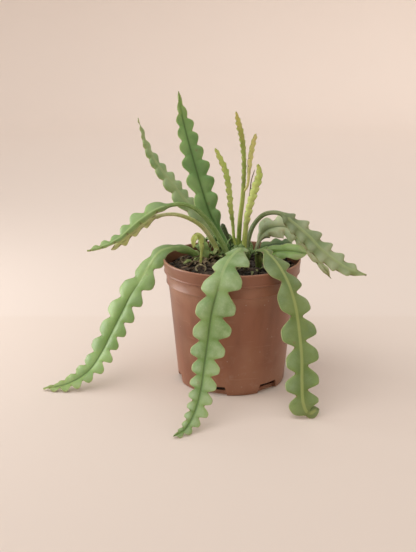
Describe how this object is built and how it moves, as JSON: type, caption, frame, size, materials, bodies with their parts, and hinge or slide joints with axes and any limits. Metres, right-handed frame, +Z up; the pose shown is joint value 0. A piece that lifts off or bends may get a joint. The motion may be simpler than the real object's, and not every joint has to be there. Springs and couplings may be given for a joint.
{
  "type": "potted fishbone cactus",
  "caption": "Fishbone cactus with flat zigzag-lobed stems rising, arching and trailing from a brown plastic nursery pot filled with bark potting mix.",
  "frame": {"origin": "bottom centre of the box around the whole plant, on the surface that the pot stands on", "axes": "+X to the plant's right seen from the front, -Y to the front, +Z up"},
  "size_m": [0.3063, 0.2124, 0.2751],
  "materials": {
    "pot_plastic": "satin, terracotta brown",
    "potting_mix": "rough, damp, dark brown to black",
    "bark": "rough bark",
    "stem_green": "waxy, satin, pale margins",
    "stem_dark": "waxy, satin, bluish bloom",
    "shoot_young": "waxy, yellow-green, ochre tips",
    "dry_stem": "dry, matt, brown-green"
  },
  "bodies": {
    "root": {"pot": "pot_plastic", "potting_mix": "potting_mix", "stem_rear_left": "stem_green", "stem_arching_upper": "stem_green", "stem_trailing_left": "stem_green", "stem_front": "stem_green", "stem_front_right": "stem_green", "stem_right": "stem_green", "stem_back_right": "stem_green", "shoot_young_left": "stem_green", "stem_tall": "stem_dark", "stem_low_right": "stem_dark", "cut_stub": "stem_dark", "stem_arching_lower": "shoot_young", "stem_short_right": "shoot_young", "shoot_centre": "shoot_young", "shoot_left": "shoot_young", "shoot_branch": "shoot_young", "shoot_right": "shoot_young", "shoot_drooping": "shoot_young", "aerial_root": "dry_stem", "bare_stalk": "dry_stem", "dry_curl": "dry_stem", "bark_chip_1": "bark", "bark_chip_2": "bark", "bark_chip_3": "bark", "bark_chip_4": "bark", "bark_chip_5": "bark", "bark_chip_6": "bark", "bark_chip_7": "bark", "bark_chip_8": "bark"}
  },
  "joints": []
}
